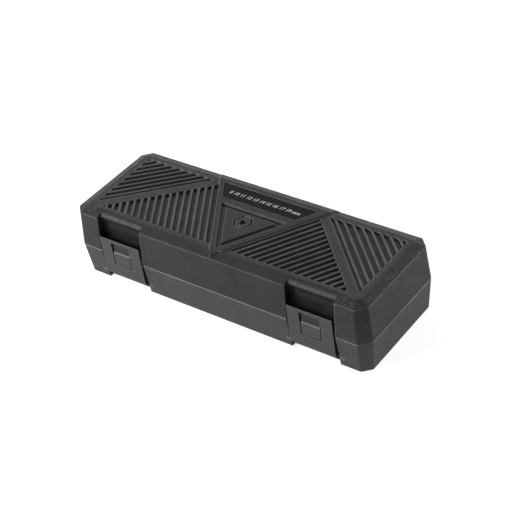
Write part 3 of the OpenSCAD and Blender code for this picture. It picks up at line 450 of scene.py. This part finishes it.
MATERIALS = {
    "base_plastic": moulded_plastic("base_plastic", (0.058, 0.059, 0.061), 0.48,
        shares=[(28.5 * MM, 29.1 * MM, 2.0)], wall_glints=0.05, grain=0.5),  # the rim's lip, with a painted highlight
    "lid_plastic": moulded_plastic("lid_plastic", (0.017, 0.0175, 0.0183), 0.46,
        shares=[
            (29.5 * MM, 30.5 * MM, 0.1),   # lower edge, in the shade of the parting line
            (59.4 * MM, 62.4 * MM, 0.55),  # painted shade on the sloped band and the floors of the grooves
            (63.0 * MM, 64.0 * MM, 0.6)],  # painted shade on the raised V panel
        wall_glints=0.42, panel=True),
    "latch_plastic": satin_plastic("latch_plastic", (0.070, 0.071, 0.073), 0.44,
        painted_shade=(-49.3 * MM, -48.9 * MM, 0.3)),  # painted shade on the web behind the window, and further back on the latch's sides and back
    "plate_plastic": satin_plastic("plate_plastic", (0.007, 0.007, 0.0075), 0.30,
        specular=0.1, wear_and_glint=0.0),
    "tray_foam": foam_rubber("tray_foam", (0.020, 0.020, 0.021)),
    "foam": foam_rubber("foam", (0.018, 0.018, 0.019)),
    "pin_steel": turned_steel("pin_steel", (0.55, 0.55, 0.56), 0.32),
    "tool_chrome": chrome_plate("tool_chrome", (0.78, 0.79, 0.80), 0.10),
    "knurled_chrome": chrome_plate("knurled_chrome", (0.70, 0.71, 0.72), 0.22),
    "size_paint": painted("size_paint", (0.80, 0.80, 0.81), 0.5),
    "dark_steel": turned_steel("dark_steel", (0.22, 0.22, 0.23), 0.38),
    "grip_rubber": soft_rubber("grip_rubber", (0.018, 0.018, 0.018), 0.62),
}

# ------------------------------------------------------------------ the CAD nodes

FLAT = {  # shells and sheets of flat facets; the rest are turned
    "base_shell", "lid_shell", "left_latch", "right_latch", "tool_tray", "name_plate",
    "lid_foam"}
EDGE = 0.2  # edge rounding, mm, where EDGES names no other
EDGES = {
    "base_shell": 0.5, "lid_shell": 0.3, "left_latch": 0.3, "right_latch": 0.3,
    "tool_tray": 0.3, "name_plate": 0.1, "lid_foam": 0.8, "drive_ball": 0,
    "release_button": 0.15, "cover_screws": 0.1, "pawl_spring": 0.05, "drive_gear": 0.12}
SHARP_TURNED, SHARP_FLAT = 28, 25  # least turn of an edge that is rounded, degrees
JOINED = 0.002 * MM  # loose corners nearer than this become one


def soften(node, edge, turned):
    """Rounds a node's sharp edges by edge metres with modifiers, its mesh left as it is.

    A turned piece is shaded smooth, with its large faces kept flat. Others keep flat facets."""
    piece = NODES[node]
    piece.data.polygons.foreach_set("use_smooth", [turned] * len(piece.data.polygons))
    weld = piece.modifiers.new("weld", "WELD")
    weld.merge_threshold = JOINED
    bevel = piece.modifiers.new("edges", "BEVEL")
    bevel.limit_method = "ANGLE"
    bevel.angle_limit = math.radians(SHARP_TURNED if turned else SHARP_FLAT)
    bevel.width = edge
    bevel.segments = 2
    bevel.use_clamp_overlap = False
    if turned:
        weighted = piece.modifiers.new("weighted", "WEIGHTED_NORMAL")
        weighted.weight = 100
        weighted.keep_sharp = True


def dress_nodes():
    """Gives each CAD node the finish of its slot and rounds its edges."""
    for entry in frame["record"]["subparts"]:
        piece = NODES[entry["node"]]
        piece.data.materials.clear()
        piece.data.materials.append(MATERIALS[entry["material_slot"]])
        edge = EDGES.get(entry["node"], EDGE)
        if edge:
            soften(entry["node"], edge * MM, entry["node"] not in FLAT)


# ------------------------------------------------------------------ pieces of the scene's own


def grid_faces(rows, columns):
    """Four-sided faces of a grid of points numbered row by row, as an array of indices."""
    start = np.arange(rows * columns).reshape(rows, columns)
    around = start[:-1, :-1], start[1:, :-1], start[1:, 1:], start[:-1, 1:]
    return np.stack(around, axis=-1)


MERGED = 0.001 * MM  # points nearer than this are doubles


def add_piece(name, points, faces, finish, body, split=None):
    """Makes a closed smooth piece in place, with its doubles merged and its faces outwards.

    split names the diagonal along which its faces are cut in two, if they are."""
    mesh = bpy.data.meshes.new(name)
    mesh.from_pydata(points.reshape(-1, 3).tolist(), [], faces.reshape(-1, 4).tolist())
    work = bmesh.new()
    work.from_mesh(mesh)
    bmesh.ops.remove_doubles(work, verts=work.verts, dist=MERGED)
    loose = [v for v in work.verts if not v.link_faces]
    bmesh.ops.delete(work, geom=loose, context="VERTS")
    if split:
        bmesh.ops.triangulate(work, faces=work.faces, quad_method=split)
    bmesh.ops.recalc_face_normals(work, faces=work.faces)
    work.to_mesh(mesh)
    work.free()
    mesh.polygons.foreach_set("use_smooth", [True] * len(mesh.polygons))
    mesh.materials.append(MATERIALS[finish])
    piece = bpy.data.objects.new(name, mesh)
    bpy.context.collection.objects.link(piece)
    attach(piece, body)
    return piece


FOAM_STEP = 1.25       # between the points of its grid, mm
FOAM_TOP = 58.8        # underside of the lid's roof
FOAM_REACH = (128.5, 38.0)  # half length and half width
FOAM_CORNER = 1.9      # cut off each corner
FOAM_NOTCH = (91.0, 25.1, -37.4)  # middle x, half width and y of the cut behind each latch
FOAM_PITCH = 15.0      # from hump to hump
FOAM_THICK = (4.5, 1.4)     # mean thickness and height of the humps
FOAM_ROUND = 3.0       # rounding along the outline
INSIDE = 0.01          # least depth inside the outline that counts


def add_egg_crate_foam():
    """Foam sheet under the lid with humps that press on the tools.

    Its thickness over a grid of (x, y) is mean + hump cos(2 pi x / pitch) cos(2 pi y / pitch),
    taken to nothing along the outline by a quarter circle. The outline is the least of the
    distances to its sides, its cut corners and its notches."""
    a, b = FOAM_REACH
    x, y = np.meshgrid(np.arange(-a, a + FOAM_STEP, FOAM_STEP),
        np.arange(-b, b + FOAM_STEP, FOAM_STEP), indexing="ij")
    corner = (a + b - FOAM_CORNER - abs(x) - abs(y)) / math.sqrt(2)
    middle, half, front = FOAM_NOTCH
    notch = np.maximum(abs(abs(x) - middle) - half, y - front)
    depth = np.minimum.reduce([a - abs(x), b - abs(y), corner, notch]) - FOAM_STEP
    wave = np.cos(2 * math.pi * x / FOAM_PITCH) * np.cos(2 * math.pi * y / FOAM_PITCH)
    rounding = np.sqrt(1 - (1 - np.clip(depth / FOAM_ROUND, 0, 1)) ** 2) * (depth > INSIDE)
    mean, hump = FOAM_THICK
    top = np.stack([x, y, np.full_like(x, FOAM_TOP)], axis=-1)
    under = np.stack([x, y, FOAM_TOP - (mean + hump * wave) * rounding], axis=-1)
    faces = grid_faces(*x.shape)
    kept = faces[(depth.ravel()[faces] > INSIDE).any(axis=-1)]
    both = np.concatenate([kept, kept + x.size])
    foam = add_piece("egg_crate_foam", np.stack([top, under]) * MM, both, "foam", "lid",
        split="LONG_EDGE")  # so that no two corner faces share all three corners
    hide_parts("lid_foam")


GRIP_END = -56.5       # butt of the ratchet's grip, x in mm
GRIP_AXIS = (9.1, 25.5)  # y and z of its middle line
GRIP_SECTION = (       # distance from the butt and radius, mm
    (0, 0), (0, 6), (0.3, 9), (1, 10.6), (2, 11.5), (3.5, 11.9), (6, 12), (14, 12), (22, 11.2),
    (30, 10.45), (40, 10.7), (56, 11.35), (68, 11.3), (80, 10.4), (86, 10), (91, 10.4),
    (95, 10.9), (98, 10.8), (100.5, 10.1), (101.6, 9.4), (102, 8.6), (102, 5.6), (4, 5.6),
    (4, 0))
GRIP_BORE = 7          # radii below this are inside the grip
FLUTES = 11            # round the grip
FLUTE_DEPTH = 0.7
FLUTE_REACH = (33, 80, 4)   # from, to, and the length of each end's slope
RINGS_AT = (7, 10.5, 14)    # distances of the three rings from the butt
RING_HALF, RING_DEPTH = 0.9, 0.45


def add_fluted_grip():
    """Rubber grip turned about its middle line and fluted lengthwise.

    The radius is the section's, less depth max(0, cos(flutes angle)) along the fluted stretch,
    and less a parabola's depth in each ring near the butt."""
    along, radius = np.array(GRIP_SECTION, float).T
    travel = np.concatenate([[0], np.cumsum(np.hypot(np.diff(along), np.diff(radius)))])
    fine = np.union1d(np.linspace(0, travel[-1], 220), travel)
    s, r = np.interp(fine, travel, along), np.interp(fine, travel, radius)
    outer = r > GRIP_BORE
    angle = np.linspace(0, 2 * math.pi, 12 * FLUTES + 1)
    start, stop, ramp = FLUTE_REACH
    window = np.clip((s - start) / ramp, 0, 1) * np.clip((stop - s) / ramp, 0, 1) * outer
    rings = sum(np.clip(1 - ((s - at) / RING_HALF) ** 2, 0, 1) for at in RINGS_AT) * outer
    flutes = FLUTE_DEPTH * np.maximum(0, np.cos(FLUTES * angle))[None, :] * window[:, None]
    turned = r[:, None] - flutes - RING_DEPTH * rings[:, None]
    points = np.stack([
        np.repeat(GRIP_END + s[:, None], angle.size, axis=1),
        GRIP_AXIS[0] + turned * np.cos(angle)[None, :],
        GRIP_AXIS[1] + turned * np.sin(angle)[None, :]], axis=-1)
    grip = add_piece("fluted_grip", points * MM, grid_faces(fine.size, angle.size),
        "grip_rubber", "base")
    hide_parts("ratchet_grip")


KNURL_AT = (-32.7, -27.7)  # between these y the sockets are knurled, mm
KNURL_RADIUS = 8.5     # the sockets' drive ends
KNURL_DEPTH = 0.28
KNURL_LIFT = 0.02      # of the valleys over the socket
KNURL_SINK = 0.2       # of the borders into the socket
KNURL_TEETH = 20       # half the teeth round the socket
KNURL_SLANT = 2.0      # turn of the ridges for each mm along y
SOCKET_HEIGHT = 26.0   # middle line of the sockets


def add_knurled_bands():
    """A knurled band round the drive end of each socket.

    Over a grid of (angle, y) the radius is the socket's plus depth times the lesser of
    |sin(teeth angle + slant y)| and |sin(teeth angle - slant y)|. The borders run down into the
    socket, where the last row meets the first and closes the ring."""
    angle = np.linspace(0, 2 * math.pi, 12 * KNURL_TEETH + 1)
    y = np.concatenate([[0], np.linspace(0, 1, 13), [1, 0]]) * (KNURL_AT[1] - KNURL_AT[0])
    turn, along = KNURL_TEETH * angle[:, None], KNURL_SLANT * y[None, :]
    ridge = np.minimum(abs(np.sin(turn + along)), abs(np.sin(turn - along)))
    radius = KNURL_RADIUS + KNURL_LIFT + KNURL_DEPTH * ridge
    radius[:, [0, -2, -1]] = KNURL_RADIUS - KNURL_SINK
    for entry in frame["record"]["subparts"]:
        kind, _, size = entry["node"].partition("_")
        if kind != "socket":
            continue
        low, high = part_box(entry["node"])
        middle = (low[0] + high[0]) / 2 / MM
        points = np.stack([
            middle + radius * np.cos(angle)[:, None],
            KNURL_AT[0] + np.broadcast_to(y, radius.shape),
            SOCKET_HEIGHT + radius * np.sin(angle)[:, None]], axis=-1)
        add_piece("knurl_" + size, points * MM, grid_faces(*radius.shape),
            "knurled_chrome", "base")


PRINT_AT = (0, 25.0, 63.02)  # middle of its lower edge, mm, just over the name plate


def add_plate_sizes():
    """The sizes of the sockets, in slanted white print across the name plate."""
    words = bpy.data.curves.new("plate_sizes", "FONT")
    words.body = "8 10 11 12 13 14 15 16 17 19 mm"
    words.size = 4.9 * MM
    words.shear = 0.35
    words.align_x = "CENTER"
    words.extrude = 0.02 * MM
    words.offset = 0.08 * MM
    words.resolution_u = 3
    source = bpy.data.objects.new("plate_sizes_text", words)
    bpy.context.collection.objects.link(source)
    shaped = source.evaluated_get(bpy.context.evaluated_depsgraph_get())
    mesh = bpy.data.meshes.new_from_object(shaped)
    bpy.data.objects.remove(source)
    mesh.name = "plate_sizes"
    mesh.transform(Matrix.Translation(Vector(PRINT_AT) * MM))
    mesh.materials.clear()
    mesh.materials.append(MATERIALS["size_paint"])
    sizes = bpy.data.objects.new("plate_sizes", mesh)
    bpy.context.collection.objects.link(sizes)
    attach(sizes, "lid")


# ------------------------------------------------------------------ making the scene

bpy.context.scene.view_settings.view_transform = "Standard"
add_camera()
add_world()
add_floor()
add_lamps()
dress_nodes()
add_egg_crate_foam()
add_fluted_grip()
add_knurled_bands()
add_plate_sizes()
